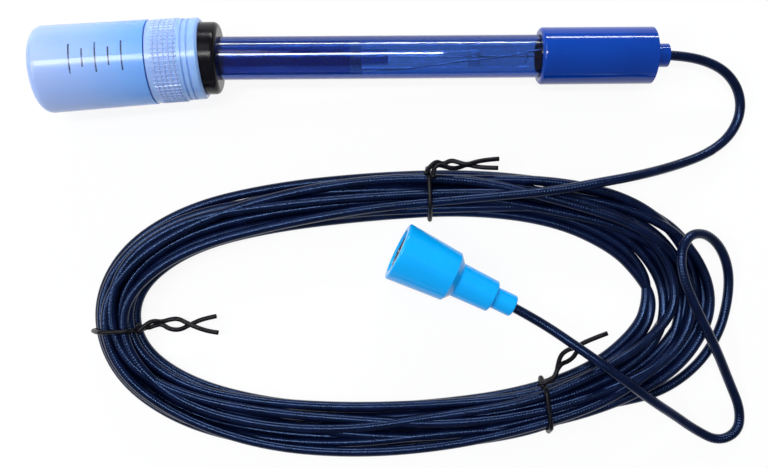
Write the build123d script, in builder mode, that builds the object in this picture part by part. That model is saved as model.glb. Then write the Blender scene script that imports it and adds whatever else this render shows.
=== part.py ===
from build123d import *
from math import asin, atan, cos, pi, radians, sin, sqrt, tan
import os

# A combination pH electrode that lies on a table with its storage bottle on the tip.
# Its cable is wound in an oval coil held by three wire ties, and ends in a bayonet plug.
# Millimetres, +X along the electrode towards its cable, +Z up, the table at z = 0.
os.makedirs("parts", exist_ok=True)

# Fits
bond = 0.05  # glue line between pieces that don't move against each other
running = 0.06  # radial air of a turning or sliding fit
apart = 0.35  # air between pieces that pass each other
seat = 0.1  # air between flat faces that close on each other

# Electrode, along its axis from the sensing tip
tube_diameter = 12.0
tube_wall = 1.2
tube_show = 123.0  # tip to the mouth of the cap
tube_socket = 16.0  # tube inside the cap
tip_round = 0.5
guard_slot_width = 4.4
guard_slot_depth = 9.0
bulb_diameter = 7.4
bulb_recess = 1.2  # bulb behind the guard's tips
stem_diameter = 4.6
glass_wall = 0.5
stem_short = 17.0  # end of the stem to the mouth of the cap
tip_seal_at = 11.0
tip_seal_thickness = 4.0
junction_diameter = 1.2
stopper_short = 36.5  # stopper to the end of the stem
stopper_thickness = 3.2
wire_diameter = 0.5
coated_diameter = 1.1  # chloride-coated ends of the two silver wires
coated_length = 9.0
reference_start = 20.0
reference_straight = 12.0  # reference wire beyond the stopper, before it winds round the stem
reference_cross = (-8.0, 5.0)  # places before and after the stem's end
reference_wind = (55.0, 72.0, 120.0)  # degrees round the stem there and at the resin
reference_lift = 0.1
stem_cap_lap = 3.0
stem_cap_length = 17.0
stem_cap_wall = 0.6
potting_inset = 4.0  # mouth of the cap to the resin
potting_length = 10.0

# Cap with its cable boss
cap_diameter = 16.0
cap_length = 32.2
cap_mouth_round = 1.0
cap_end_round = 2.3
boss_diameter = 6.6
boss_length = 4.8
boss_round = 1.2
cable_diameter = 2.8
cable_socket = 3.0

# Rubber ring that grips the shaft
ring_face = 33.0  # tip to the ring's outer face
ring_thickness = 4.5
ring_diameter = 20.0
ring_round = 1.5

# Storage bottle and its screw cap, along the bottle's axis from the cap's outer face
lean = 3.5  # degrees between the bottle and the shaft, seen from above
storage_length = 46.0
bottle_base_diameter = 24.2
bottle_shoulder_diameter = 23.4
bottle_wall = 1.2
bottle_base_round = 2.6
bottle_base_dish = 0.8
bottle_foot_width = 1.56  # flat ring that the bottle stands on
bottle_base_thickness = 1.5
neck_diameter = 19.2
neck_wall = 1.4
screw_cap_length = 14.0
screw_cap_top = 2.0
screw_cap_mouth_diameter = 22.5
screw_cap_skirt_diameter = 22.9
screw_cap_hole_diameter = 13.2
screw_cap_edge = 0.6
screw_cap_grooves = (2.6, 4.2)
screw_cap_groove_width = 0.7
screw_cap_groove_depth = 0.35
rib_count = 60
rib_height = 0.35
rib_start = 5.6
rib_length = 7.0
washer_thickness = 1.2
washer_hole_diameter = 14.6

# Bayonet plug, along its axis from the hood's open mouth
plug_mouth = (11.2, -53.1)
plug_heading = -26.5  # degrees, seen from above
hood_mouth_diameter = 17.3
hood_shoulder_diameter = 14.8
hood_shoulder_at = 17.0
hood_bore_diameter = 13.0
hood_bore_depth = 16.4
hood_waist_diameter = 10.2
hood_waist_end_diameter = 9.4
hood_waist_end = 30.5
hood_waist_bore_diameter = 7.8
hood_waist_floor = 1.2
hood_neck_diameter = 6.4
hood_length = 37.2
hood_edge_round = 0.6
hood_shoulder_slope = 2.0
hood_shoulder_round = 1.3
coupling_start = 0.6
coupling_length = 13.0
coupling_bore_diameter = 10.0
coupling_lip = 1.4
bayonet_groove_diameter = 2.0
bayonet_entry = 3.0
bayonet_rise = 3.0
bayonet_turn = 90.0  # degrees
sleeve_start = 1.6
sleeve_diameter = 8.1
sleeve_wall = 0.6
sleeve_slit_width = 0.5
sleeve_slit_length = 6.0
sleeve_base = 12.0  # back of the sleeve, where the body widens
body_journal_diameter = 9.2
flange_diameter = 12.0
flange_at = 14.4
flange_thickness = 1.2
barrel_diameter = 6.8
barrel_end = 20.5
crimp_tail_diameter = 4.0
crimp_tail_end = 26.0
insulator_start = 7.0
insulator_end = 14.0
pin_start = 2.4
pin_diameter = 1.35
pin_end = 22.0
gasket_thickness = 1.2
gasket_width = 0.6
spring_thickness = 0.45
spring_dish = 0.12
ferrule_diameter = 5.8
ferrule_start = 21.0
ferrule_length = 7.8
ferrule_crimp_diameter = 5.0

# Wire ties and the coil that they hold
tie_width = 1.4
tie_thickness = 1.1
tie_gap = 0.25
tie_corner = 3.6
tie_knot_height = 5.0
tie_twist_radius = 1.1
tie_twist_pitch = 8.8
tie_turns = {"tie_top": 1.25, "tie_left": 1.5, "tie_bottom": 1.5}
tie_tail = 10.0
tie_spread = 2.6  # how far each tail ends from the middle of the twist
tie_places = {"tie_top": 0.285, "tie_left": 0.568, "tie_bottom": 0.919}  # shares of the coil's length
tie_headings = {"tie_top": 10.0, "tie_left": 3.0, "tie_bottom": 37.0}  # degrees, seen from above
coil_width = 15.6
coil_height = 7.2

# Free runs of the cable
lead_straight = 5.0  # out of the boss
tail_straight = 5.0  # out of the hood
bend_share = 0.45  # part of a run that the bend at its end takes up

# Middle line of the coil, seen from above
coil_route = [
    (94, -69.5),
    (90, -56),
    (78.5, -45.5),
    (58.5, -38.5),
    (32.5, -35.5),
    (4, -36.5),
    (-25, -39.5),
    (-48, -45.5),
    (-64, -56),
    (-70, -70),
    (-65.5, -85),
    (-50, -96),
    (-28, -101.5),
    (-3, -103.5),
    (23, -102),
    (49, -98.5),
    (71.5, -92),
    (87.5, -82.5),
]

# Places along the electrode that follow the tube's length
stem_end = tube_show - stem_short
stopper_at = stem_end - stopper_short
potting_at = tube_show + potting_inset

# Frame: the bottle rests on its base and on its cap's ribs, and the shaft runs down from it to the blue cap
electrode_length = tube_show + cap_length + boss_length
cap_radius = cap_diameter / 2
cap_foot = tube_show + cap_length - cap_end_round
storage_mouth = ring_face - ring_thickness
rib_reach = screw_cap_mouth_diameter / 2 + rib_height
bottle_foot = storage_length - bottle_base_round
bottle_tilt = atan((bottle_base_diameter / 2 - rib_reach) / (bottle_foot - rib_start))
mouth_height = rib_reach * cos(bottle_tilt) - rib_start * sin(bottle_tilt)
foot_span = cap_foot - storage_mouth
tilt = asin(mouth_height / sqrt(foot_span**2 + cap_radius**2)) - atan(cap_radius / foot_span)
shaft_height = mouth_height + storage_mouth * sin(tilt)
leaning = radians(lean)
side_reach = bottle_foot * sin(leaning)
side_swell = (bottle_base_diameter - screw_cap_mouth_diameter) / 2 * cos(leaning)
shaft_side = (side_reach + side_swell) / 2
base_slant = (bottle_base_diameter / 2 - bottle_base_round) * sin(leaning)
storage_reach = storage_length * cos(leaning) + base_slant
tip_x = (storage_reach - (storage_mouth + electrode_length) * cos(tilt)) / 2

electrode = Plane(
    origin=(tip_x, shaft_side, shaft_height),
    x_dir=(cos(tilt), 0, -sin(tilt)),
    z_dir=(0, -1, 0),
)
electrode_axis = Axis(electrode.origin, electrode.x_dir)
storage = Plane(
    origin=electrode.from_local_coords((storage_mouth, 0, 0)),
    x_dir=(cos(leaning) * cos(bottle_tilt), sin(leaning) * cos(bottle_tilt), -sin(bottle_tilt)),
    z_dir=(sin(leaning), -cos(leaning), 0),
)
storage_axis = Axis(storage.origin, storage.x_dir)

# The plug rests on the slanted side of its hood
hood_slope = atan((hood_mouth_diameter - hood_shoulder_diameter) / 2 / hood_shoulder_at)
heading = radians(plug_heading)
plug = Plane(
    origin=(*plug_mouth, hood_mouth_diameter / 2 * cos(hood_slope)),
    x_dir=(cos(heading) * cos(hood_slope), sin(heading) * cos(hood_slope), -sin(hood_slope)),
    z_dir=(sin(heading), -cos(heading), 0),
)
plug_axis = Axis(plug.origin, plug.x_dir)

# Radii that several pieces share
tube_radius = tube_diameter / 2
tube_bore = tube_radius - tube_wall
stem_radius = stem_diameter / 2
wire_radius = wire_diameter / 2
cable_radius = cable_diameter / 2
annulus_middle = (tube_bore + stem_radius) / 2
tie_half = tie_thickness / 2
coil_bottom = tie_thickness + tie_gap
coil_top = coil_bottom + coil_height


def across(frame, place, way=1):
    # Plane across a frame's own axis, facing along that axis or back
    return Plane(frame.from_local_coords((place, 0, 0)), frame.y_dir, frame.x_dir * way)


def bend_radii(points, closed=False):
    # Each bend is as large as its two runs allow
    corners = [Vector(*point) for point in points]
    count = len(corners)
    radii = []
    for index in range(0 if closed else 1, count if closed else count - 1):
        before = corners[index] - corners[index - 1]
        after = corners[(index + 1) % count] - corners[index]
        turn = radians(before.get_angle(after))
        radii.append(bend_share * min(before.length, after.length) / tan(turn / 2))
    return radii


# Tube of clear plastic, with four guard prongs around the bulb
with BuildPart() as body_tube:
    with BuildSketch(electrode):
        with Locations(((tube_show + tube_socket) / 2, (tube_bore + tube_radius) / 2)):
            wall_section = Rectangle(tube_show + tube_socket, tube_wall)
        fillet(wall_section.vertices().group_by(Axis.X)[0], tip_round)
    revolve(axis=electrode_axis)
    for turn in (45, 135):
        with BuildSketch(Plane(electrode.location * Rotation(turn, 0, 0))):
            SlotCenterToCenter(2 * (guard_slot_depth - guard_slot_width / 2), guard_slot_width)
        extrude(amount=tube_diameter, both=True, mode=Mode.SUBTRACT)
body_tube.part.label = "body_tube"
export_step(body_tube.part, "parts/body_tube.step")

# Glass stem with the thin bulb blown on its end
bulb_radius = bulb_diameter / 2
bulb_centre = bulb_recess + bulb_radius
bulb_inside = bulb_radius - glass_wall
stem_bore = stem_radius - glass_wall
bulb_back = bulb_centre + sqrt(bulb_radius**2 - stem_radius**2)
bulb_back_inside = bulb_centre + sqrt(bulb_inside**2 - stem_bore**2)
with BuildPart() as ph_glass:
    with BuildSketch(electrode):
        with BuildLine():
            ThreePointArc(
                (bulb_centre - bulb_radius, 0),
                (bulb_centre, bulb_radius),
                (bulb_back, stem_radius),
            )
            Polyline(
                (bulb_back, stem_radius),
                (stem_end, stem_radius),
                (stem_end, stem_bore),
                (bulb_back_inside, stem_bore),
            )
            ThreePointArc(
                (bulb_back_inside, stem_bore),
                (bulb_centre, bulb_inside),
                (bulb_centre - bulb_inside, 0),
            )
            Line((bulb_centre - bulb_inside, 0), (bulb_centre - bulb_radius, 0))
        make_face()
    revolve(axis=electrode_axis)
ph_glass.part.label = "ph_glass"
export_step(ph_glass.part, "parts/ph_glass.step")

# Seal that holds the glass in the tube, with the porous junction through it
with BuildPart() as tip_seal:
    with BuildSketch(across(electrode, tip_seal_at)):
        Circle(tube_bore - bond)
        Circle(stem_radius + bond, mode=Mode.SUBTRACT)
        with Locations((annulus_middle, 0)):
            Circle(junction_diameter / 2 + bond, mode=Mode.SUBTRACT)
    extrude(amount=tip_seal_thickness)
tip_seal.part.label = "tip_seal"
export_step(tip_seal.part, "parts/tip_seal.step")

with BuildPart() as junction_plug:
    with BuildSketch(across(electrode, tip_seal_at)):
        with Locations((annulus_middle, 0)):
            Circle(junction_diameter / 2)
    extrude(amount=tip_seal_thickness)
junction_plug.part.label = "junction_plug"
export_step(junction_plug.part, "parts/junction_plug.step")

# Stopper above the reference gel, seen through the tube as a pale band
with BuildPart() as gel_stopper:
    with BuildSketch(across(electrode, stopper_at)):
        Circle(tube_bore - bond)
        Circle(stem_radius + bond, mode=Mode.SUBTRACT)
        with Locations((0, annulus_middle)):
            Circle(wire_radius + bond, mode=Mode.SUBTRACT)
    extrude(amount=stopper_thickness)
gel_stopper.part.label = "gel_stopper"
export_step(gel_stopper.part, "parts/gel_stopper.step")

# Silver wire inside the stem, thicker where it is coated
with BuildPart() as silver_wire:
    with BuildSketch(electrode):
        with BuildLine():
            Polyline(
                (bulb_centre, 0),
                (bulb_centre, coated_diameter / 2),
                (bulb_centre + coated_length, coated_diameter / 2),
                (bulb_centre + coated_length, wire_radius),
                (potting_at, wire_radius),
                (potting_at, 0),
                close=True,
            )
        make_face()
    revolve(axis=electrode_axis)
silver_wire.part.label = "silver_wire"
export_step(silver_wire.part, "parts/silver_wire.step")

# Reference wire beside the stem, crossing over it on the way to the cap
crossing_radius = annulus_middle + reference_lift
winding = [stem_end + reference_cross[0], stem_end + reference_cross[1], potting_at]
reference_points = [
    (reference_start, 0, annulus_middle),
    (stopper_at + stopper_thickness + reference_straight, 0, annulus_middle),
]
for place, wind in zip(winding, reference_wind):
    upward = crossing_radius * sin(radians(wind))
    outward = crossing_radius * cos(radians(wind))
    reference_points.append((place, upward, outward))
reference_route = [electrode.from_local_coords(point) for point in reference_points]
with BuildPart() as reference_wire:
    with BuildLine() as reference_line:
        FilletPolyline(*reference_route, radius=bend_radii(reference_route))
    with BuildSketch(across(electrode, reference_start)):
        with Locations((0, annulus_middle)):
            Circle(wire_radius)
    sweep()
    with BuildSketch(across(electrode, reference_start)):
        with Locations((0, annulus_middle)):
            Circle(coated_diameter / 2)
    extrude(amount=coated_length)
reference_wire.part.label = "reference_wire"
export_step(reference_wire.part, "parts/reference_wire.step")

# Soft stopper on the stem's open end
stem_cap_radius = stem_radius + stem_cap_wall
stem_cap_start = stem_end - stem_cap_lap
stem_cap_end = stem_cap_start + stem_cap_length
with BuildPart() as stem_cap:
    with BuildSketch(electrode):
        with BuildLine():
            Polyline(
                (stem_cap_end, wire_radius + bond),
                (stem_end + bond, wire_radius + bond),
                (stem_end + bond, stem_radius + bond),
                (stem_cap_start, stem_radius + bond),
                (stem_cap_start, stem_cap_radius),
                (stem_cap_end - stem_cap_radius, stem_cap_radius),
            )
            TangentArc(
                (stem_cap_end - stem_cap_radius, stem_cap_radius),
                (stem_cap_end, wire_radius + bond),
                tangent=(1, 0),
            )
        make_face()
    revolve(axis=electrode_axis)
stem_cap.part.label = "stem_cap"
export_step(stem_cap.part, "parts/stem_cap.step")

# Resin that closes the tube and holds the wire ends
with BuildPart() as tube_potting:
    with BuildSketch(across(electrode, potting_at)):
        Circle(tube_bore - bond)
    extrude(amount=potting_length)
tube_potting.part.label = "tube_potting"
export_step(tube_potting.part, "parts/tube_potting.step")

# Blue cap, moulded in one piece with the boss that the cable leaves by
cap_end = tube_show + cap_length
with BuildPart() as electrode_cap:
    with BuildSketch(electrode):
        with BuildLine():
            Polyline(
                (tube_show, tube_radius + bond),
                (tube_show, cap_radius),
                (cap_end, cap_radius),
                (cap_end, boss_diameter / 2),
                (electrode_length, boss_diameter / 2),
                (electrode_length, cable_radius + seat),
                (electrode_length - cable_socket, cable_radius + seat),
                (electrode_length - cable_socket, 0),
                (tube_show + tube_socket + bond, 0),
                (tube_show + tube_socket + bond, tube_radius + bond),
                close=True,
            )
        cap_section = make_face()
        outer_corners = cap_section.vertices().group_by(Axis.Y)
        fillet(outer_corners[-1].sort_by(Axis.X)[0], cap_mouth_round)
        fillet(outer_corners[-1].sort_by(Axis.X)[-1], cap_end_round)
        fillet(cap_section.vertices().group_by(Axis.X)[-1].sort_by(Axis.Y)[-1], boss_round)
    revolve(axis=electrode_axis)
electrode_cap.part.label = "electrode_cap"
export_step(electrode_cap.part, "parts/electrode_cap.step")

# Rubber ring on the shaft, its back face pressed flat by the leaning screw cap
ring_spare = ring_diameter * tan(leaning)
with BuildPart() as seal_ring:
    with BuildSketch(electrode):
        with BuildLine():
            Polyline(
                (storage_mouth - ring_spare, tube_radius + running),
                (ring_face, tube_radius + running),
                (ring_face, ring_diameter / 2),
                (storage_mouth - ring_spare, ring_diameter / 2),
                close=True,
            )
        ring_section = make_face()
        fillet(ring_section.vertices().group_by(Axis.X)[-1].sort_by(Axis.Y)[-1], ring_round)
    revolve(axis=electrode_axis)
    split(bisect_by=Plane(storage.origin, z_dir=storage.x_dir), keep=Keep.TOP)
seal_ring.part.label = "seal_ring"
export_step(seal_ring.part, "parts/seal_ring.step")

# Screw cap of the bottle: a skirt with fine grip ribs, two rings and a hole for the shaft
neck_radius = neck_diameter / 2
thread_radius = neck_radius + apart
with BuildPart() as bottle_cap:
    with BuildSketch(storage):
        with BuildLine():
            Polyline(
                (0, screw_cap_hole_diameter / 2),
                (0, screw_cap_mouth_diameter / 2),
                (-screw_cap_length, screw_cap_skirt_diameter / 2),
                (-screw_cap_length, thread_radius),
                (-screw_cap_top, thread_radius),
                (-screw_cap_top, screw_cap_hole_diameter / 2),
                close=True,
            )
        skirt_section = make_face()
        chamfer(skirt_section.vertices().group_by(Axis.X)[-1].sort_by(Axis.Y)[-1], screw_cap_edge)
        for groove in screw_cap_grooves:
            with Locations((-groove, screw_cap_mouth_diameter / 2)):
                Rectangle(screw_cap_groove_width, 2 * screw_cap_groove_depth, mode=Mode.SUBTRACT)
    revolve(axis=storage_axis)
    with BuildSketch(across(storage, -rib_start, way=-1)):
        with PolarLocations(screw_cap_mouth_diameter / 2, rib_count):
            Rectangle(rib_height * sqrt(2), rib_height * sqrt(2), rotation=45)
    extrude(amount=rib_length)
bottle_cap.part.label = "bottle_cap"
export_step(bottle_cap.part, "parts/bottle_cap.step")

# Flat washer between the bottle's mouth and the cap's top
washer_at = -screw_cap_top - seat
with BuildPart() as mouth_washer:
    with BuildSketch(across(storage, washer_at, way=-1)):
        Circle(neck_radius)
        Circle(washer_hole_diameter / 2, mode=Mode.SUBTRACT)
    extrude(amount=washer_thickness)
mouth_washer.part.label = "mouth_washer"
export_step(mouth_washer.part, "parts/mouth_washer.step")

# Bottle: a tapered cup with a dished base and a plain neck inside the screw cap
mouth_at = washer_at - washer_thickness
shoulder_at = -screw_cap_length - apart
base_at = -storage_length
floor_at = base_at + bottle_base_thickness
base_radius = bottle_base_diameter / 2
dish_radius = base_radius - bottle_base_round - bottle_foot_width
shoulder_radius = bottle_shoulder_diameter / 2
neck_bore = neck_radius - neck_wall
with BuildPart() as storage_bottle:
    with BuildSketch(storage):
        with BuildLine():
            TangentArc((base_at + bottle_base_dish, 0), (base_at, dish_radius), tangent=(0, 1))
            Polyline(
                (base_at, dish_radius),
                (base_at, base_radius),
                (shoulder_at, shoulder_radius),
                (shoulder_at, neck_radius),
                (mouth_at, neck_radius),
                (mouth_at, neck_bore),
                (shoulder_at - bottle_wall, neck_bore),
                (shoulder_at - bottle_wall, shoulder_radius - bottle_wall),
                (floor_at, base_radius - bottle_wall),
                (floor_at, dish_radius),
            )
            TangentArc((floor_at + bottle_base_dish, 0), (floor_at, dish_radius), tangent=(0, 1))
            Line((floor_at + bottle_base_dish, 0), (base_at + bottle_base_dish, 0))
        bottle_section = make_face()
        fillet(bottle_section.vertices().group_by(Axis.X)[0].sort_by(Axis.Y)[-1], bottle_base_round)
    revolve(axis=storage_axis)
storage_bottle.part.label = "storage_bottle"
export_step(storage_bottle.part, "parts/storage_bottle.step")

# Plug hood: one blue moulding, wide over the coupling ring and narrow around the cable
hood_bore = hood_bore_diameter / 2
waist_bore = hood_waist_bore_diameter / 2
waist_floor = hood_waist_end - hood_waist_floor
shoulder_end = hood_shoulder_at + hood_shoulder_slope
with BuildPart() as plug_hood:
    with BuildSketch(plug):
        with BuildLine():
            Polyline(
                (0, hood_bore),
                (0, hood_mouth_diameter / 2),
                (hood_shoulder_at, hood_shoulder_diameter / 2),
                (shoulder_end, hood_waist_diameter / 2),
                (hood_waist_end, hood_waist_end_diameter / 2),
                (hood_waist_end, hood_neck_diameter / 2),
                (hood_length, hood_neck_diameter / 2),
                (hood_length, cable_radius + apart),
                (waist_floor, cable_radius + apart),
                (waist_floor, waist_bore),
                (hood_bore_depth, waist_bore),
                (hood_bore_depth, hood_bore),
                close=True,
            )
        hood_section = make_face()
        rim = hood_section.vertices().group_by(Axis.X)[0].sort_by(Axis.Y)[-1]
        waist_edge = hood_section.vertices().group_by(Axis.X)[-2].sort_by(Axis.Y)[-1]
        neck_edge = hood_section.vertices().group_by(Axis.X)[-1].sort_by(Axis.Y)[-1]
        fillet([rim, waist_edge, neck_edge], hood_edge_round)
        shoulder = hood_section.vertices().sort_by_distance((hood_shoulder_at, hood_shoulder_diameter / 2))[0]
        waist = hood_section.vertices().sort_by_distance((shoulder_end, hood_waist_diameter / 2))[0]
        fillet([shoulder, waist], hood_shoulder_round)
    revolve(axis=plug_axis)
plug_hood.part.label = "plug_hood"
export_step(plug_hood.part, "parts/plug_hood.step")

# Coupling ring in the hood, with two curved bayonet grooves and a lip behind the journal's shoulder
coupling_end = coupling_start + coupling_length
coupling_bore = coupling_bore_diameter / 2
journal_radius = body_journal_diameter / 2
with BuildPart() as coupling_ring:
    with BuildSketch(plug):
        with BuildLine():
            Polyline(
                (coupling_start, coupling_bore),
                (coupling_start, hood_bore - bond),
                (coupling_end, hood_bore - bond),
                (coupling_end, journal_radius + running),
                (coupling_end - coupling_lip, journal_radius + running),
                (coupling_end - coupling_lip, coupling_bore),
                close=True,
            )
        make_face()
    revolve(axis=plug_axis)
    for side in (0, 180):
        face = across(plug, coupling_start)
        entry = Plane(face.location * Rotation(0, 0, side))
        with BuildSketch(entry):
            with Locations((coupling_bore, 0)):
                Circle(bayonet_groove_diameter / 2)
        extrude(amount=bayonet_entry, mode=Mode.SUBTRACT)
        ramp_foot = entry.offset(bayonet_entry)
        with BuildLine() as ramp_line:
            Helix(bayonet_rise * 360 / bayonet_turn, bayonet_rise, coupling_bore)
        ramp = ramp_line.edges()[0].moved(ramp_foot.location)
        with BuildSketch(Plane(ramp @ 0, z_dir=ramp % 0)):
            Circle(bayonet_groove_diameter / 2)
        sweep(path=ramp, mode=Mode.SUBTRACT)
        with Locations(ramp @ 0, ramp @ 1):
            Sphere(bayonet_groove_diameter / 2, mode=Mode.SUBTRACT)
coupling_ring.part.label = "coupling_ring"
export_step(coupling_ring.part, "parts/coupling_ring.step")

# Plug body: slit contact sleeve, journal, flange, barrel and crimp tail, turned in one piece
sleeve_radius = sleeve_diameter / 2
sleeve_bore = sleeve_radius - sleeve_wall
core_bore = (pin_diameter + crimp_tail_diameter) / 4
with BuildPart() as plug_body:
    with BuildSketch(plug):
        with BuildLine():
            Polyline(
                (sleeve_start, sleeve_bore),
                (sleeve_start, sleeve_radius),
                (sleeve_base, sleeve_radius),
                (sleeve_base, journal_radius),
                (flange_at, journal_radius),
                (flange_at, flange_diameter / 2),
                (flange_at + flange_thickness, flange_diameter / 2),
                (flange_at + flange_thickness, barrel_diameter / 2),
                (barrel_end, barrel_diameter / 2),
                (barrel_end, crimp_tail_diameter / 2),
                (crimp_tail_end, crimp_tail_diameter / 2),
                (crimp_tail_end, core_bore),
                (insulator_end, core_bore),
                (insulator_end, sleeve_bore),
                close=True,
            )
        make_face()
    revolve(axis=plug_axis)
    for turn in (0, 90):
        with BuildSketch(Plane(plug.location * Rotation(turn, 0, 0))):
            with Locations((sleeve_start, 0)):
                Rectangle(2 * sleeve_slit_length, sleeve_slit_width)
        extrude(amount=sleeve_diameter, both=True, mode=Mode.SUBTRACT)
plug_body.part.label = "plug_body"
export_step(plug_body.part, "parts/plug_body.step")

with BuildPart() as plug_insulator:
    with BuildSketch(across(plug, insulator_start)):
        Circle(sleeve_bore - bond)
        Circle(pin_diameter / 2 + bond, mode=Mode.SUBTRACT)
    extrude(amount=insulator_end - insulator_start)
plug_insulator.part.label = "plug_insulator"
export_step(plug_insulator.part, "parts/plug_insulator.step")

with BuildPart() as centre_pin:
    with BuildSketch(plug):
        with BuildLine():
            TangentArc((pin_start, 0), (pin_start + pin_diameter / 2, pin_diameter / 2), tangent=(0, 1))
            Polyline(
                (pin_start + pin_diameter / 2, pin_diameter / 2),
                (pin_end, pin_diameter / 2),
                (pin_end, 0),
                (pin_start, 0),
            )
        make_face()
    revolve(axis=plug_axis)
centre_pin.part.label = "centre_pin"
export_step(centre_pin.part, "parts/centre_pin.step")

# Soft gasket at the root of the contact sleeve
gasket_at = sleeve_base - gasket_thickness
with BuildPart() as plug_gasket:
    with BuildSketch(across(plug, gasket_at)):
        Circle(sleeve_radius + bond + gasket_width)
        Circle(sleeve_radius + bond, mode=Mode.SUBTRACT)
    extrude(amount=gasket_thickness)
plug_gasket.part.label = "plug_gasket"
export_step(plug_gasket.part, "parts/plug_gasket.step")

# Dished spring washer between the ring's lip and the flange
spring_front = (coupling_end + flange_at - spring_thickness - spring_dish) / 2
with BuildPart() as spring_washer:
    with BuildSketch(plug):
        with BuildLine():
            Polyline(
                (spring_front, journal_radius + running),
                (spring_front + spring_thickness, journal_radius + running),
                (spring_front + spring_thickness + spring_dish, flange_diameter / 2),
                (spring_front + spring_dish, flange_diameter / 2),
                close=True,
            )
        make_face()
    revolve(axis=plug_axis)
spring_washer.part.label = "spring_washer"
export_step(spring_washer.part, "parts/spring_washer.step")

# Ferrule crimped on the cable behind the body
ferrule_end = ferrule_start + ferrule_length
with BuildPart() as crimp_ferrule:
    with BuildSketch(plug):
        with BuildLine():
            Polyline(
                (ferrule_start, crimp_tail_diameter / 2 + bond),
                (ferrule_start, ferrule_diameter / 2),
                (crimp_tail_end, ferrule_diameter / 2),
                (crimp_tail_end + bond, ferrule_crimp_diameter / 2),
                (ferrule_end, ferrule_crimp_diameter / 2),
                (ferrule_end, cable_radius + bond),
                (crimp_tail_end + bond, cable_radius + bond),
                (crimp_tail_end + bond, crimp_tail_diameter / 2 + bond),
                close=True,
            )
        make_face()
    revolve(axis=plug_axis)
crimp_ferrule.part.label = "crimp_ferrule"
export_step(crimp_ferrule.part, "parts/crimp_ferrule.step")

# Cable from the cap's boss to the coil
lead_route = [
    electrode.from_local_coords((electrode_length - cable_socket, 0, 0)),
    electrode.from_local_coords((electrode_length + lead_straight, 0, 0)),
    (105, -1, 5.8),
    (111.5, -6.3, 4),
    (113.8, -13.6, 2.4),
    (110.6, -20.6, 1.7),
    (103.3, -25.3, 2),
    (92.5, -28.9, 4),
    (80, -32, 7.4),
    (68, -34.4, 9.2),
    (57, -36.6, 6.6),
]
lead_radii = bend_radii(lead_route)
print("lead bend radii", [round(radius, 1) for radius in lead_radii])
with BuildPart() as cable_lead:
    with BuildLine() as lead_line:
        FilletPolyline(*lead_route, radius=lead_radii)
    lead_path = lead_line.wires()[0]
    with BuildSketch(Plane(lead_path @ 0, z_dir=lead_path % 0)):
        Circle(cable_radius)
    sweep()
print("lead volume", round(cable_lead.part.volume), round(lead_path.length * pi * cable_radius**2))
cable_lead.part.label = "cable_lead"
export_step(cable_lead.part, "parts/cable_lead.step")

# Cable from the coil to the plug, in a loop beside the coil's end and back over it
tail_route = [
    (65, -99, 5),
    (76, -97.7, 4),
    (88, -94.4, 2.6),
    (98.3, -88, 1.6),
    (106.2, -79.4, 1.4),
    (111.4, -69, 1.4),
    (113, -59.5, 2),
    (110.4, -51.8, 4),
    (104.3, -47, 6.6),
    (96.6, -45.4, 9),
    (90, -48, 10.8),
    (86.8, -54.6, 11.2),
    (88.3, -63.3, 11.2),
    (94.2, -72.8, 11),
    (101.5, -83, 7.6),
    (107.7, -93, 3),
    (111.6, -101.2, 1.5),
    (110.6, -107.6, 1.4),
    (106.1, -112.2, 1.4),
    (99.8, -113.2, 1.7),
    (92.6, -109.5, 4),
    (86.4, -104.6, 7.4),
    (80, -99, 10.4),
    (68, -89, 11),
    plug.from_local_coords((hood_length + tail_straight, 0, 0)),
    plug.from_local_coords((crimp_tail_end, 0, 0)),
]
tail_radii = bend_radii(tail_route)
print("tail bend radii", [round(radius, 1) for radius in tail_radii])
with BuildPart() as cable_tail:
    with BuildLine() as tail_line:
        FilletPolyline(*tail_route, radius=tail_radii)
    tail_path = tail_line.wires()[0]
    with BuildSketch(Plane(tail_path @ 0, z_dir=tail_path % 0)):
        Circle(cable_radius)
    sweep()
print("tail volume", round(cable_tail.part.volume), round(tail_path.length * pi * cable_radius**2))
cable_tail.part.label = "cable_tail"
export_step(cable_tail.part, "parts/cable_tail.step")

# Outer shape of the coil
with BuildPart() as cable_coil:
    with BuildLine(Plane.XY.offset(coil_bottom + coil_height / 2)) as coil_line:
        FilletPolyline(*coil_route, radius=bend_radii(coil_route, closed=True), close=True)
    coil_path = coil_line.wires()[0]
    with BuildSketch(Plane(coil_path @ 0, x_dir=(0, 0, 1), z_dir=coil_path % 0)):
        SlotOverall(coil_width, coil_height, rotation=90)
    sweep()
cable_coil.part.label = "cable_coil"
export_step(cable_coil.part, "parts/cable_coil.step")

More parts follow.
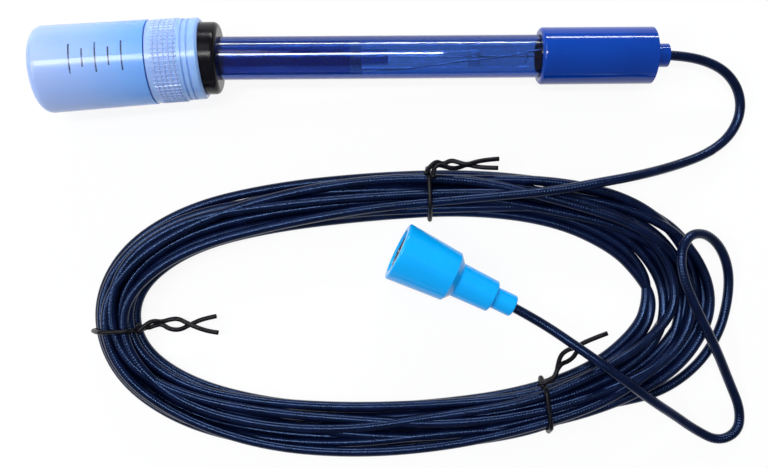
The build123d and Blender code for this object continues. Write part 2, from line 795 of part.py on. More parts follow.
# Wire ties: a flat loop around the coil, its two ends twisted together
loop_half = coil_width / 2 + tie_gap + tie_half
loop_top = coil_top + tie_gap + tie_half
top_knot = (loop_half - tie_corner - tie_twist_radius, loop_top + tie_thickness)
inner_knot = (-loop_half - tie_half, tie_knot_height)
tie_knots = {"tie_top": top_knot, "tie_left": inner_knot, "tie_bottom": inner_knot}
for name, knot_place in tie_knots.items():
    along = coil_path.tangent_at(tie_places[name])
    middle = coil_path.position_at(tie_places[name])
    loop_plane = Plane((middle.X, middle.Y, 0), x_dir=along.cross(Vector(0, 0, 1)), z_dir=-along)
    knot = loop_plane.from_local_coords((*knot_place, 0))
    ahead = Vector(1, 0, 0).rotate(Axis.Z, tie_headings[name])
    wound = 360 * tie_turns[name]
    with BuildPart() as tie:
        with BuildLine(loop_plane) as loop_line:
            FilletPolyline(
                (-loop_half, tie_half),
                (loop_half, tie_half),
                (loop_half, loop_top),
                (-loop_half, loop_top),
                radius=tie_corner,
                close=True,
            )
        loop_path = loop_line.wires()[0]
        with BuildSketch(Plane(loop_path @ 0, x_dir=along, z_dir=loop_path % 0)):
            Rectangle(tie_width, tie_thickness)
        sweep(path=loop_path)
        for upright in (Vector(0, 0, 1), Vector(0, 0, -1)):
            with BuildLine() as strand_line:
                twist = Helix(tie_twist_pitch, tie_twist_pitch * tie_turns[name], tie_twist_radius)
                tail_run = Vector(0, tie_spread, tie_tail).rotate(Axis.Z, wound)
                TangentArc(twist @ 1, twist @ 1 + tail_run, tangent=twist % 1)
            strand_plane = Plane(knot, x_dir=upright.rotate(Axis(knot, ahead), -wound), z_dir=ahead)
            strand_path = strand_line.wires()[0].moved(strand_plane.location)
            with BuildSketch(Plane(strand_path @ 0, x_dir=strand_plane.x_dir, z_dir=strand_path % 0)):
                Rectangle(tie_thickness, tie_width)
            sweep(path=strand_path)
    tie.part.label = name
    export_step(tie.part, f"parts/{name}.step")
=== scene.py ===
import bpy
import math
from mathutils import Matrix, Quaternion, Vector


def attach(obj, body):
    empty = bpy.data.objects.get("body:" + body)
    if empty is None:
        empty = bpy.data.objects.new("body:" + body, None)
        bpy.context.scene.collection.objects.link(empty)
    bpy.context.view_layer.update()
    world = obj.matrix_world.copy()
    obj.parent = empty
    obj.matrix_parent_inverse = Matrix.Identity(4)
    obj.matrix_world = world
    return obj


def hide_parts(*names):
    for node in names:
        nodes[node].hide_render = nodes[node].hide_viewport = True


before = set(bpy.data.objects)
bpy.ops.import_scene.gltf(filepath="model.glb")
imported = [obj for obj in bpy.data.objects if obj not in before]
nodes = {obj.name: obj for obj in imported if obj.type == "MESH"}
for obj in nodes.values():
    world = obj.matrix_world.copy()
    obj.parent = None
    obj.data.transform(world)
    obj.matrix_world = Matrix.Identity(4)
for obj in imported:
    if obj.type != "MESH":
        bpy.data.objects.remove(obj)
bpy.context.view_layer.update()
mm = 0.001

# Axes of the electrode from its tip, and of the bottle and the plug from their mouths, in metres
shaft = {"origin": Vector((-0.070965, 0.001749, 0.012333)), "along": Vector((0.999598, 0, -0.028361))}
bottle = {"origin": Vector((-0.042476, 0.001749, 0.011525)), "along": Vector((0.998047, 0.061043, -0.013226))}
plug = {"origin": Vector((0.0112, -0.0531, 0.008627)), "along": Vector((0.892525, -0.444996, -0.073331))}

# Camera straight above the electrode and its coil
camera = {"place": (7.4, -48.3, 250), "turn": -0.743, "lens": 39.72, "sensor": 36, "clip": 5}


def setCamera():
    data = bpy.data.cameras.new("overheadCamera")
    data.lens = camera["lens"]
    data.sensor_width = camera["sensor"]
    data.clip_start = camera["clip"] * mm
    holder = bpy.data.objects.new("overheadCamera", data)
    holder.location = Vector(camera["place"]) * mm
    holder.rotation_euler = (0, 0, math.radians(camera["turn"]))
    bpy.context.scene.collection.objects.link(holder)
    bpy.context.scene.camera = holder


setCamera()
print("camera set")


# Small helpers for node trees and meshes, with _ for each space in a socket's name
def newMaterial(name, colour, roughness, **sockets):
    material = bpy.data.materials.new(name)
    material.use_nodes = True
    shader = material.node_tree.nodes["Principled BSDF"]
    shader.inputs["Base Color"].default_value = (*colour, 1)
    shader.inputs["Roughness"].default_value = roughness
    for socket, value in sockets.items():
        shader.inputs[socket.replace("_", " ")].default_value = value
    return material, material.node_tree, shader


def feed(tree, shader, **sources):
    for socket, source in sources.items():
        tree.links.new(source, shader.inputs[socket.replace("_", " ")])


def addNode(tree, kind, settings=None, **inputs):
    # Inputs go by name, or by number as at0, at1 and so on
    node = tree.nodes.new(kind)
    for setting, value in (settings or {}).items():
        setattr(node, setting, value)
    for socket, value in inputs.items():
        place = node.inputs[int(socket[2:])] if socket.startswith("at") else node.inputs[socket]
        if isinstance(value, bpy.types.NodeSocket):
            tree.links.new(value, place)
        else:
            place.default_value = value
    return node


def sums(tree, operation, first, second=0.0, third=0.0):
    node = addNode(tree, "ShaderNodeMath", {"operation": operation}, at0=first, at1=second, at2=third)
    return node.outputs[0]


def vectorSums(tree, operation, output="Vector", **inputs):
    return addNode(tree, "ShaderNodeVectorMath", {"operation": operation}, **inputs).outputs[output]


def objectPlace(tree):
    return addNode(tree, "ShaderNodeTexCoord").outputs["Object"]


def stretched(tree, place, along, share):
    # The same place, drawn out along an axis
    flat = vectorSums(tree, "DOT_PRODUCT", "Value", at0=place, at1=along)
    pulled = vectorSums(tree, "SCALE", at0=along, Scale=sums(tree, "MULTIPLY", flat, share - 1))
    return vectorSums(tree, "ADD", at0=place, at1=pulled)


def reach(tree, place, origin, along):
    # How far a place lies from a point, measured along an axis
    shifted = vectorSums(tree, "SUBTRACT", at0=place, at1=origin)
    return vectorSums(tree, "DOT_PRODUCT", "Value", at0=shifted, at1=along)


def noise(tree, place, scale, detail=3.0):
    return addNode(tree, "ShaderNodeTexNoise", Vector=place, Scale=scale, Detail=detail).outputs["Fac"]


def ramp(tree, value, edges, lowColour, highColour):
    node = addNode(tree, "ShaderNodeValToRGB", Fac=value)
    for element, edge, colour in zip(node.color_ramp.elements, edges, (lowColour, highColour)):
        element.position = edge
        element.color = (*colour, 1)
    return node.outputs["Color"]


def spread(tree, value, low, high, start=0.0, end=1.0):
    node = addNode(tree, "ShaderNodeMapRange", Value=value)
    node.inputs["From Min"].default_value = start
    node.inputs["From Max"].default_value = end
    node.inputs["To Min"].default_value = low
    node.inputs["To Max"].default_value = high
    return node.outputs["Result"]


def blendColour(tree, share, first, second):
    node = addNode(tree, "ShaderNodeMix", {"data_type": "RGBA"})
    places = {socket.identifier: socket for socket in node.inputs}
    tree.links.new(share, places["Factor_Float"])
    for place, colour in (("A_Color", first), ("B_Color", second)):
        if isinstance(colour, bpy.types.NodeSocket):
            tree.links.new(colour, places[place])
        else:
            places[place].default_value = (*colour, 1)
    return next(socket for socket in node.outputs if socket.identifier == "Result_Color")


def bump(tree, shader, height, strength, relief):
    node = addNode(tree, "ShaderNodeBump", Height=height, Strength=strength, Distance=relief * mm)
    feed(tree, shader, Normal=node.outputs["Normal"])


def dress(material, *names):
    for name in names:
        mesh = nodes[name].data
        mesh.materials.clear()
        mesh.materials.append(material)


def clearSelection():
    bpy.ops.object.select_all(action="DESELECT")


# Floor, world and lamps of a plain studio
studio = {
    "floorSize": 6.0,
    "floorDrop": 0.1,  # under the object, in millimetres
    "floorColour": (0.84, 0.85, 0.87),
    "floorRoughness": 0.9,
    "floorGlow": 0.9,  # share of plain white where the floor is seen or mirrored
    "worldColour": (0.93, 0.95, 1.0),
    "worldLight": 0.25,
}


def setStudio():
    clearSelection()
    bpy.ops.mesh.primitive_plane_add(size=studio["floorSize"], location=(0, 0, -studio["floorDrop"] * mm))
    floor = bpy.context.object
    floor.name = "studioFloor"
    material, tree, shader = newMaterial("paleFloor", studio["floorColour"], studio["floorRoughness"],
                                         Specular_IOR_Level=0.0)
    rays = addNode(tree, "ShaderNodeLightPath").outputs
    mirrored = sums(tree, "MAXIMUM", rays["Is Camera Ray"], rays["Is Glossy Ray"])
    seen = sums(tree, "MAXIMUM", mirrored, rays["Is Transmission Ray"])
    share = sums(tree, "MULTIPLY", seen, studio["floorGlow"])
    glow = addNode(tree, "ShaderNodeEmission", Color=(1, 1, 1, 1), Strength=1.0)
    mix = addNode(tree, "ShaderNodeMixShader", at0=share, at1=shader.outputs[0], at2=glow.outputs[0])
    tree.links.new(mix.outputs[0], tree.nodes["Material Output"].inputs["Surface"])
    floor.data.materials.append(material)
    world = bpy.data.worlds.new("paleRoom")
    world.use_nodes = True
    background = world.node_tree.nodes["Background"]
    background.inputs["Color"].default_value = (*studio["worldColour"], 1)
    background.inputs["Strength"].default_value = studio["worldLight"]
    bpy.context.scene.world = world
    bpy.context.scene.view_settings.view_transform = "Standard"


lamps = {
    "overheadStrip": {
        "place": (-0.17, 0.05, 1.0), "aim": (-0.17, -0.03, 0), "size": (0.64, 0.07), "power": 5.6},
    "backStrip": {
        "place": (0.13, 0.9, 0.36), "aim": (0.13, -0.03, 0), "size": (0.64, 0.07), "power": 5.0},
    "sideBox": {
        "place": (-0.75, -0.06, 0.8), "aim": (0, 0, 0), "size": (0.5, 0.08), "power": 3.4},
    "softBox": {
        "place": (-0.6, 0.6, 1.2), "aim": (0, 0, 0), "size": (0.8, 0.8), "power": 3.6},
}


def setLamps():
    for name, lamp in lamps.items():
        data = bpy.data.lights.new(name, "AREA")
        data.shape = "RECTANGLE"
        data.size, data.size_y = lamp["size"]
        data.energy = lamp["power"]
        holder = bpy.data.objects.new(name, data)
        holder.location = lamp["place"]
        aim = Vector(lamp["aim"]) - holder.location
        holder.rotation_euler = aim.to_track_quat("-Z", "Y").to_euler()
        bpy.context.scene.collection.objects.link(holder)


setStudio()
setLamps()
print("studio set")


# Cable: out of the cap, round the coil and on to the plug, in millimetres
cable = {
    "diameter": 2.8,
    "sides": 14,
    "steps": 10,
    "lead": [
        (85.97, 1.75, 7.88), (93.97, 1.75, 7.65), (104.6, -1, 5.8), (110.5, -6.4, 4), (112.4, -13.6, 2.4),
        (109.4, -20.8, 1.7), (102.7, -25.9, 2), (92.3, -29.6, 4), (80, -32.6, 7.4), (68, -34.6, 9.2),
        (57, -36.6, 8.2)],
    "coil": [
        (94.5, -69.5), (90.5, -56), (78.5, -45.8), (58.5, -39.2), (32.5, -36.4), (4, -37.2), (-25, -40),
        (-49, -45.5), (-65.6, -56), (-71.9, -70), (-67.2, -85.4), (-51.2, -97), (-28, -103), (-3, -105),
        (23, -104), (49, -100.7), (71.5, -93.8), (88, -83)],
    "tail": [
        (65, -99.4, 3.2), (76, -98.2, 2.4), (88, -95.6, 1.8), (98.6, -88.4, 1.6), (105.2, -79, 1.4),
        (108, -69.2, 1.4), (108.2, -60.4, 2.2), (105, -53.2, 4.2), (99.6, -49.2, 7), (93.9, -49.6, 9.6),
        (90.8, -54.8, 11), (91.6, -62.2, 11.2), (95.6, -71.4, 11), (102, -82.4, 7.6), (107.4, -92.6, 3),
        (111.2, -100.9, 1.5), (110.6, -107.6, 1.4), (104.6, -110.5, 1.4), (97.4, -106.6, 1.7),
        (90.7, -101.8, 4.6), (84, -97.4, 8.4), (76.5, -91.8, 11), (66, -84, 10.4), (48.87, -71.88, 5.53),
        (34.41, -64.67, 6.72)],
    "firstStation": 4,  # where the lead joins the coil
    "lastStation": 15,  # where the tail leaves it
    "burr": {"place": (103.2, -25.6, 2.6), "reach": 1.1, "height": 0.55, "sharpness": 2},
}
bundle = {
    "rows": (3, 4, 5),  # turns in each row, from the top row down
    "rise": 2.3,  # from row to row
    "ties": {"tieTop": (20.59, -36.7), "tieLeft": (-70.4, -75.2), "tieBottom": (53.8, -99.6)},
    "tieLift": 1.35,  # the ties' own thickness under the turns
    "tieReach": 20.0,  # how far along the turns a tie is felt
    "wander": 0.4,  # sideways drift of a turn in the lowest row, between ties
    "topDrift": 4.2,  # how much more a turn drifts for each row further up
    "waves": (2.4, 0.7),  # how the drift changes from turn to turn and from station to station
    "swing": (-2.0, 1.2, 5.4, 4.7, 1.5, -1.7, -4.9, -4.5, -2.3, 1.9, 5.4, 7.0),  # at the loose right end
    "swingStations": {16: 0.1, 17: 0.6, 0: 1.0, 1: 0.9, 2: 0.4},
    "shift": {17: 0.15, 0: 0.4, 1: 0.65, 2: 0.85, 3: 1.0},  # each turn moves on to the next one's place
    "halfWidth": 5.5,  # how far a turn may lie from the middle, at a tie
    "looseness": 0.4,  # how much further between ties
    "spare": {11: 0.3, 12: 0.5, 13: 0.6, 14: 0.5, 15: 0.3},  # and along the wider lower side
    "sink": 0.06,  # how far a turn sinks in one step
    "steps": 60,
    "passes": 3,  # for each step
    "give": 0.38,  # how much more an upper turn gives way than the one it lies on
    "sameSpot": 0.01,  # turns this near each other part sideways
    "rounds": 4,
    "ease": 0.15,  # share of each neighbouring station in a turn's place
}


def bundlePlaces():
    # Places of the turns across the bundle: (outward, up)
    places = []
    count = len(bundle["rows"])
    for row, turns in enumerate(bundle["rows"]):
        way = 1 if row % 2 == 0 else -1
        for turn in range(turns):
            outward = way * (turn - (turns - 1) / 2) * cable["diameter"]
            places.append(Vector((outward, (count - 1 - row) * bundle["rise"] + cable["diameter"] / 2)))
    return places


def tightness(point):
    nearest = min((Vector(point) - Vector(tie)).length for tie in bundle["ties"].values())
    return math.exp(-(nearest / bundle["tieReach"]) ** 2)


def looseTable(stations):
    # Each turn's place at each station, before the turns sink on to each other
    slots = bundlePlaces()
    turnWave, stationWave = bundle["waves"]
    table = []
    for station, point in enumerate(stations):
        tight = tightness(point)
        shift = bundle["shift"].get(station, 0.0)
        swing = bundle["swingStations"].get(station, 0.0)
        row = []
        for turn, slot in enumerate(slots):
            place = slot.lerp(slots[min(turn + 1, len(slots) - 1)], shift)
            place.x += bundle["swing"][turn] * swing
            free = 1 + bundle["topDrift"] * (slot.y - cable["diameter"] / 2) / bundle["rise"]
            wave = math.sin(turnWave * turn + stationWave * station)
            place.x += bundle["wander"] * free * (1 - tight) * wave
            row.append(place)
        table.append(row)
    return table


def pushApart(places):
    for first in range(len(places)):
        for second in range(first):
            gap = places[first] - places[second]
            short = cable["diameter"] - gap.length
            if short > 0:
                apart = gap.length > bundle["sameSpot"]
                push = gap.normalized() * short if apart else Vector((short, 0))
                share = 0.5 + max(-1.0, min(gap.y / cable["diameter"], 1.0)) * bundle["give"]
                places[first] += push * share
                places[second] -= push * (1 - share)


def settle(places, floor, side):
    # The turns of one station sink until they lie on each other, within the bundle's width
    for _ in range(bundle["steps"]):
        for place in places:
            place.y -= bundle["sink"]
        for _ in range(bundle["passes"]):
            pushApart(places)
            for place in places:
                place.x = max(-side, min(place.x, side))
                place.y = max(place.y, floor)


def settledTable(stations):
    table = looseTable(stations)
    count = len(stations)
    ease = bundle["ease"]
    for _ in range(bundle["rounds"]):
        for station in range(count):
            tight = tightness(stations[station])
            loose = bundle["looseness"] * (1 - tight)
            loose += max(bundle["swing"]) * bundle["swingStations"].get(station, 0.0)
            loose += bundle["spare"].get(station, 0.0)
            floor = cable["diameter"] / 2 + bundle["tieLift"] * tight
            settle(table[station], floor, bundle["halfWidth"] + loose)
        smooth = []
        for station in range(count):
            near = zip(table[station - 1], table[station], table[(station + 1) % count])
            smooth.append([here * (1 - 2 * ease) + (before + after) * ease for before, here, after in near])
        table = smooth
    return table


def coilTurns():
    stations = [Vector(point) for point in cable["coil"]]
    count = len(stations)
    table = settledTable(stations)
    turns = len(table[0])
    points = []
    for turn in range(turns):
        for step in range(count):
            station = (cable["firstStation"] + step) % count
            if turn == turns - 1 and step > cable["lastStation"] - cable["firstStation"]:
                break
            along = (stations[(station + 1) % count] - stations[station - 1]).normalized()
            outward = Vector((along.y, -along.x))
            place = table[station][turn]
            flat = stations[station] + outward * place.x
            points.append(Vector((flat.x, flat.y, place.y)))
    return points


def smoothLine(name, points, steps):
    # One smooth line with the given points as its control points
    curve = bpy.data.curves.new(name, "CURVE")
    curve.dimensions = "3D"
    curve.resolution_u = steps
    spline = curve.splines.new("NURBS")
    spline.points.add(len(points) - 1)
    for control, point in zip(spline.points, points):
        control.co = (*(Vector(point) * mm), 1)
    spline.order_u = 3
    spline.use_endpoint_u = True
    holder = bpy.data.objects.new(name, curve)
    mesh = bpy.data.meshes.new_from_object(holder)
    line = [vertex.co.copy() for vertex in mesh.vertices]
    bpy.data.meshes.remove(mesh)
    bpy.data.curves.remove(curve)
    return line


def sweepTube(name, line, radius, sides, lump=None):
    # Closed tube along a line, with the way along it kept for the finish
    verts, faces, alongs = [], [], []
    tangent = (line[1] - line[0]).normalized()
    side = tangent.orthogonal().normalized()
    travelled = 0.0
    for index, point in enumerate(line):
        before, after = line[max(index - 1, 0)], line[min(index + 1, len(line) - 1)]
        heading = (after - before).normalized()
        side = (tangent.rotation_difference(heading) @ side).normalized()
        tangent = heading
        travelled += (point - before).length
        for corner in range(sides):
            out = Quaternion(tangent, 2 * math.pi * corner / sides) @ side
            swell = lump(point + out * radius) if lump else 0.0
            verts.append(point + out * (radius + swell))
            alongs.append(travelled)
    for ring in range(len(line) - 1):
        for corner in range(sides):
            here, beside = ring * sides + corner, ring * sides + (corner + 1) % sides
            faces.append((here, beside, beside + sides, here + sides))
    faces.append(tuple(reversed(range(sides))))
    faces.append(tuple(range((len(line) - 1) * sides, len(line) * sides)))
    mesh = bpy.data.meshes.new(name)
    mesh.from_pydata(verts, [], faces)
    mesh.shade_smooth()
    attribute = mesh.attributes.new("along", "FLOAT", "POINT")
    attribute.data.foreach_set("value", alongs)
    piece = bpy.data.objects.new(name, mesh)
    bpy.context.scene.collection.objects.link(piece)
    return piece


def burr(point):
    # Small lump on the jacket, close to the lead's lowest bend
    spot = cable["burr"]
    far = (point - Vector(spot["place"]) * mm).length / (spot["reach"] * mm)
    return spot["height"] * mm * math.exp(-far * far * spot["sharpness"])


# Dusty dark jacket, beaded in patches by the strands under it
jacket = {
    "base": (0.002, 0.004, 0.014),
    "dark": (0.0008, 0.002, 0.012),
    "light": (0.003, 0.007, 0.036),
    "tint": (0.28, 0.48, 1.0),
    "roughness": 0.22,
    "dulled": (0.18, 0.28),  # roughness from clean to dusty
    "dustScale": 160.0,
    "dustEdges": (0.35, 0.8),
    "beadPitch": 0.85,
    "beadDepth": 1.6,
    "patchScale": 22.0,
    "patchEdges": (0.45, 0.7),
    "grainScale": 2500.0,
    "depth": 0.35,
    "relief": 0.06,
}


def cableJacket():
    material, tree, shader = newMaterial("cableJacket", jacket["base"], jacket["roughness"], IOR=1.36,
                                         Specular_IOR_Level=0.8, Specular_Tint=(*jacket["tint"], 1))
    along = addNode(tree, "ShaderNodeAttribute", {"attribute_name": "along"}).outputs["Fac"]
    place = objectPlace(tree)
    ripple = sums(tree, "SINE", sums(tree, "MULTIPLY", along, 2 * math.pi / (jacket["beadPitch"] * mm)))
    patchiness = noise(tree, place, jacket["patchScale"], 2.0)
    patches = spread(tree, patchiness, 0.0, jacket["beadDepth"], *jacket["patchEdges"])
    beads = sums(tree, "MULTIPLY", ripple, patches)
    grain = noise(tree, place, jacket["grainScale"], 2.0)
    bump(tree, shader, sums(tree, "ADD", beads, grain), jacket["depth"], jacket["relief"])
    dust = noise(tree, place, jacket["dustScale"], 4.0)
    feed(tree, shader,
         Base_Color=ramp(tree, dust, jacket["dustEdges"], jacket["dark"], jacket["light"]),
         Roughness=spread(tree, dust, *jacket["dulled"]))
    return material


def makeCable():
    route = [Vector(point) for point in cable["lead"]]
    route += coilTurns()
    route += [Vector(point) for point in cable["tail"]]
    line = smoothLine("cableLine", route, cable["steps"])
    piece = sweepTube("cable", line, cable["diameter"] / 2 * mm, cable["sides"], burr)
    piece.data.materials.append(cableJacket())
    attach(piece, "electrode")
    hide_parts("cable_lead", "cable_coil", "cable_tail")
    length = sum((after - before).length for before, after in zip(line, line[1:]))
    print("cable", round(length, 3), "m,", len(line), "rings")
    return piece, line, length


cablePiece, cableLine, cableLength = makeCable()

# Wire ties: a loop drawn tight around the turns, and two ends twisted over each other
tieWire = {
    "radius": 0.68,
    "sides": 10,
    "steps": 8,
    "loopStart": -90,  # degrees, at the bottom of the loop
    "loopTurn": 370,
    "loopStep": 8,
    "shortest": 0.2,  # step along the loop
    "bundleReach": 14,  # turns further out than this pass by
}
ties = {
    "tieTop": {
        "node": "tie_top", "along": (-0.999, -0.035),
        "ends": [
            [(19.3, -31.6, 10.2), (20.4, -29.6, 9.9), (22.6, -27.7, 8.6), (24.6, -28.6, 7.2),
             (26.8, -27.4, 7.6), (29.0, -28.2, 8.6), (31.2, -28.9, 8.8), (34.0, -28.0, 8.2),
             (37.5, -27.4, 7.6), (40.6, -27.2, 7.4)],
            [(21.6, -32.6, 10.2), (21.6, -29.9, 9.4), (23.0, -28.8, 9.6), (25.0, -29.3, 8.8),
             (27.0, -29.9, 8.6), (29.2, -29.6, 7.4), (31.4, -28.6, 6.8), (34.0, -29.4, 7.4),
             (37.5, -29.8, 8.2), (40.2, -29.9, 8.6)],
        ],
    },
    "tieLeft": {
        "node": "tie_left", "along": (0.03, -1.0),
        "ends": [
            [(-63.7, -75.6, 6.8), (-61.4, -73.4, 6.4), (-59.4, -72.4, 6.0), (-57.2, -72.9, 5.0),
             (-54.8, -72.2, 4.4), (-52.4, -72.0, 4.6), (-49.6, -73.4, 5.4), (-46.4, -74.8, 5.6),
             (-43.0, -75.9, 5.2), (-40.8, -76.2, 5.0)],
            [(-64.2, -73.4, 6.4), (-61.6, -74.8, 5.4), (-59.2, -73.9, 4.6), (-57.0, -73.4, 5.6),
             (-54.8, -74.9, 5.8), (-52.0, -75.3, 5.2), (-49.2, -73.9, 4.2), (-46.4, -72.6, 4.4),
             (-43.8, -71.9, 4.8), (-41.4, -71.4, 5.0)],
        ],
    },
    "tieBottom": {
        "node": "tie_bottom", "along": (0.993, 0.12),
        "ends": [
            [(50.8, -91.5, 8.8), (52.2, -91.2, 9.4), (54.2, -90.8, 9.0), (56.2, -89.2, 7.4),
             (57.1, -86.5, 5.6), (58.1, -84.0, 4.8), (60.1, -82.5, 4.6), (62.3, -82.0, 4.6),
             (65.6, -80.1, 4.4), (71.8, -77.9, 4.4)],
            [(51.6, -92.4, 9.2), (53.4, -90.6, 8.6), (55.6, -90.0, 7.4), (56.7, -87.8, 6.6),
             (58.1, -86.3, 5.8), (60.1, -85.8, 5.2), (61.9, -84.5, 4.8), (62.9, -83.0, 4.2),
             (64.7, -83.8, 3.6), (67.5, -85.6, 3.2)],
        ],
    },
}


def tieLoop(at, along):
    # Where the turns pass through the tie's plane, and the tight loop around them
    outward = Vector((along.y, -along.x))
    crossings = []
    for before, after in zip(cableLine, cableLine[1:]):
        first, second = before.xy / mm - at, after.xy / mm - at
        if first.dot(along) * second.dot(along) <= 0 and abs(first.dot(outward)) < tieWire["bundleReach"]:
            crossings.append(Vector((first.dot(outward), before.z / mm)))
    clear = cable["diameter"] / 2 + tieWire["radius"]
    loop = []
    for step in range(0, tieWire["loopTurn"] + tieWire["loopStep"], tieWire["loopStep"]):
        angle = math.radians(step + tieWire["loopStart"])
        way = Vector((math.cos(angle), math.sin(angle)))
        edge = max(crossings, key=lambda crossing: crossing.dot(way)) + way * clear
        flat = at + outward * edge.x
        point = Vector((flat.x, flat.y, max(edge.y, tieWire["radius"]))) * mm
        if not loop or (point - loop[-1]).length > tieWire["shortest"] * mm:
            loop.append(point)
    return loop


# Black plastic coating of the ties, scuffed where they were twisted
coating = {
    "base": (0.003, 0.003, 0.005),
    "dark": (0.002, 0.002, 0.004),
    "light": (0.005, 0.005, 0.009),
    "roughness": 0.3,
    "dulled": (0.24, 0.45),
    "scuffScale": 320.0,
    "scuffEdges": (0.4, 0.85),
    "grainScale": 1500.0,
    "depth": 0.2,
    "relief": 0.05,
}


def tieCoating():
    material, tree, shader = newMaterial("tieCoating", coating["base"], coating["roughness"], IOR=1.35,
                                         Specular_IOR_Level=0.3)
    place = objectPlace(tree)
    scuffs = noise(tree, place, coating["scuffScale"], 4.0)
    feed(tree, shader,
         Base_Color=ramp(tree, scuffs, coating["scuffEdges"], coating["dark"], coating["light"]),
         Roughness=spread(tree, scuffs, *coating["dulled"]))
    bump(tree, shader, noise(tree, place, coating["grainScale"], 2.0), coating["depth"], coating["relief"])
    return material


def makeTies():
    material = tieCoating()
    pieces = []
    for name, tie in ties.items():
        lines = [tieLoop(Vector(bundle["ties"][name]), Vector(tie["along"]))]
        lines += [smoothLine(name + "End", points, tieWire["steps"]) for points in tie["ends"]]
        wires = [sweepTube(name, line, tieWire["radius"] * mm, tieWire["sides"]) for line in lines]
        clearSelection()
        for wire in wires:
            wire.select_set(True)
        bpy.context.view_layer.objects.active = wires[0]
        bpy.ops.object.join()
        piece = bpy.context.object
        piece.data.materials.append(material)
        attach(piece, "electrode")
        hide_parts(tie["node"])
        pieces.append(piece)
    return pieces


tiePieces = makeTies()
print("cable laid and tied")

# Screw thread on the bottle's neck
thread = {
    "radius": 9.62,
    "ridge": 0.3,
    "pitch": 3.0,
    "start": -4.2,  # from the mouth
    "turns": 3.0,
    "sides": 8,
    "pointsPerTurn": 40,
}


def makeThread():
    across = bottle["along"].cross(Vector((0, 0, 1))).normalized()
    upward = across.cross(bottle["along"])
    line = []
    for step in range(int(thread["turns"] * thread["pointsPerTurn"]) + 1):
        turn = 2 * math.pi * step / thread["pointsPerTurn"]
        place = thread["start"] - thread["pitch"] * step / thread["pointsPerTurn"]
        out = across * math.cos(turn) + upward * math.sin(turn)
        line.append(bottle["origin"] + (bottle["along"] * place + out * thread["radius"]) * mm)
    piece = sweepTube("neckThread", line, thread["ridge"] * mm, thread["sides"])
    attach(piece, "bottle")
    return piece


neckThread = makeThread()


def layOnAxis(piece, axis, start):
    # A piece made upright at the origin goes to its place on an axis
    piece.data.transform(axis["along"].to_track_quat("Z", "Y").to_matrix().to_4x4())
    for vertex in piece.data.vertices:
        vertex.co += axis["origin"] + axis["along"] * start * mm


# Fine rings that cross the grip ribs on the screw cap
capRings = {
    "start": -6.3,  # from the bottle's mouth
    "pitch": 1.35,
    "count": 5,
    "radius": 11.4,
    "ridge": 0.2,
    "width": 0.9,  # against the ridge's height
    "points": 96,
    "sides": 6,
}


def makeCapRings():
    clearSelection()
    bpy.ops.mesh.primitive_torus_add(
        major_radius=capRings["radius"] * mm, minor_radius=capRings["ridge"] * mm,
        major_segments=capRings["points"], minor_segments=capRings["sides"], location=(0, 0, 0))
    piece = bpy.context.object
    piece.name = "capRings"
    bpy.ops.object.mode_set(mode="EDIT")
    bpy.ops.mesh.select_all(action="SELECT")
    bpy.ops.transform.resize(value=(1, 1, capRings["width"]))
    step = {"value": (0, 0, -capRings["pitch"] * mm)}
    for _ in range(capRings["count"] - 1):
        bpy.ops.mesh.duplicate_move(TRANSFORM_OT_translate=step)
    bpy.ops.object.mode_set(mode="OBJECT")
    layOnAxis(piece, bottle, capRings["start"])
    piece.data.shade_smooth()
    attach(piece, "storage_cap")
    return piece


ringPiece = makeCapRings()

# Dark gel between the tip's seal and the stopper
gel = {
    "start": 15.1,  # from the tip
    "end": 69.3,
    "inner": 2.4,
    "outer": 4.7,
    "sides": 64,
    "smoothAngle": 40,
    "base": (0.2, 0.24, 0.42),
    "dark": (0.2, 0.3, 0.75),
    "light": (0.45, 0.58, 0.95),
    "roughness": 0.1,
    "dulled": (0.05, 0.25),
    "cloudScale": 260.0,
    "cloudEdges": (0.3, 0.75),
    "cloudStretch": 0.3,
}


def makeGel():
    clearSelection()
    bpy.ops.mesh.primitive_circle_add(vertices=gel["sides"], radius=gel["inner"] * mm, location=(0, 0, 0))
    piece = bpy.context.object
    piece.name = "referenceGel"
    bpy.ops.object.mode_set(mode="EDIT")
    bpy.ops.mesh.extrude_edges_move()
    widen = gel["outer"] / gel["inner"]
    bpy.ops.transform.resize(value=(widen, widen, 1))
    bpy.ops.mesh.select_all(action="SELECT")
    lengthwise = {"value": (0, 0, (gel["end"] - gel["start"]) * mm)}
    bpy.ops.mesh.extrude_region_move(TRANSFORM_OT_translate=lengthwise)
    bpy.ops.mesh.select_all(action="SELECT")
    bpy.ops.mesh.normals_make_consistent(inside=False)
    bpy.ops.object.mode_set(mode="OBJECT")
    layOnAxis(piece, shaft, gel["start"])
    bpy.ops.object.shade_smooth_by_angle(angle=math.radians(gel["smoothAngle"]))
    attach(piece, "electrode")
    return piece


def gelFinish():
    material, tree, shader = newMaterial("gelFinish", gel["base"], gel["roughness"], IOR=1.36,
                                         Transmission_Weight=0.9)
    place = stretched(tree, objectPlace(tree), shaft["along"], gel["cloudStretch"])
    cloud = noise(tree, place, gel["cloudScale"], 4.0)
    feed(tree, shader,
         Base_Color=ramp(tree, cloud, gel["cloudEdges"], gel["dark"], gel["light"]),
         Roughness=spread(tree, cloud, *gel["dulled"]))
    return material


gelPiece = makeGel()
print("thread, rings and gel made")

# Tube of clear dyed plastic, darker where more of its wall is looked through
tube = {
    "base": (0.9, 0.93, 1.0),
    "dark": (0.84, 0.88, 0.97),
    "light": (0.94, 0.96, 1.0),
    "dye": (0.04, 0.36, 0.74),
    "density": 1400.0,
    "roughness": 0.03,
    "dulled": (0.01, 0.03),
    "drawnScale": 900.0,  # of the marks that drawing leaves along the tube
    "drawnEdges": (0.3, 0.75),
    "drawnStretch": 0.02,
}


